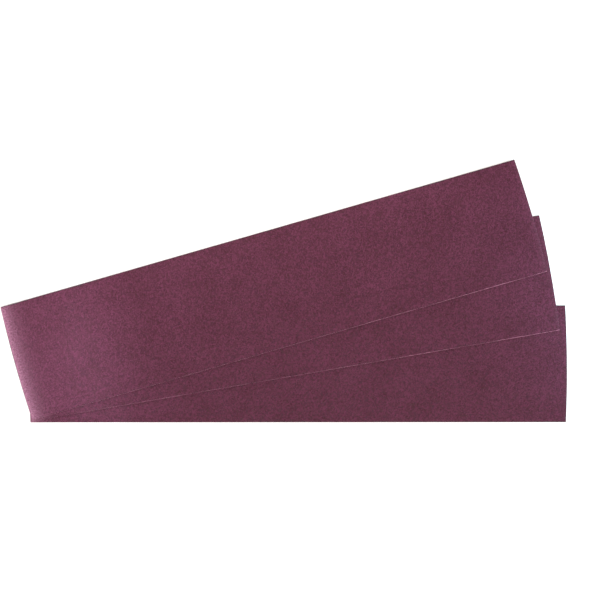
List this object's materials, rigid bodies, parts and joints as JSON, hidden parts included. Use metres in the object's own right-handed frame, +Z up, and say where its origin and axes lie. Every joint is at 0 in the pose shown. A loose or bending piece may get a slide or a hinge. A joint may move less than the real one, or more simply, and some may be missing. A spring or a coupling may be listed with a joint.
{
  "type": "sanding strip set",
  "caption": "Flat rectangular strips of cloth-backed coated abrasive, stacked grit side up and fanned about one corner, for hand sanding models and small parts.",
  "frame": {"origin": "centre of the bottom strip's flat underside, on the surface that the set lies on", "axes": "+X along the bottom strip, away from the corner that the strips share; +Y across it, to the side that the fan opens; +Z up, out of the grit"},
  "size_m": [0.2422, 0.1126, 0.0022],
  "materials": {
    "backing_cloth": "matte",
    "make_resin": "satin",
    "aluminium_oxide_grain": "matte",
    "size_resin": "satin"
  },
  "bodies": {
    "bottom_strip": {"bottom_strip_backing": "backing_cloth", "bottom_strip_make_coat": "make_resin", "bottom_strip_abrasive_grain": "aluminium_oxide_grain", "bottom_strip_size_coat": "size_resin"},
    "middle_strip": {"middle_strip_backing": "backing_cloth", "middle_strip_make_coat": "make_resin", "middle_strip_abrasive_grain": "aluminium_oxide_grain", "middle_strip_size_coat": "size_resin"},
    "top_strip": {"top_strip_backing": "backing_cloth", "top_strip_make_coat": "make_resin", "top_strip_abrasive_grain": "aluminium_oxide_grain", "top_strip_size_coat": "size_resin"}
  },
  "joints": [
    {"name": "middle_fan", "type": "hinge", "parent": "bottom_strip", "child": "middle_strip", "pos_m": [-0.1177, -0.0207, 0.00074], "axis": [0, 0, 1], "range_deg": [-9.75, 35.25]},
    {"name": "top_fan", "type": "hinge", "parent": "middle_strip", "child": "top_strip", "pos_m": [-0.1177, -0.0207, 0.00148], "axis": [0, 0, 1], "range_deg": [-6.35, 38.65]}
  ]
}
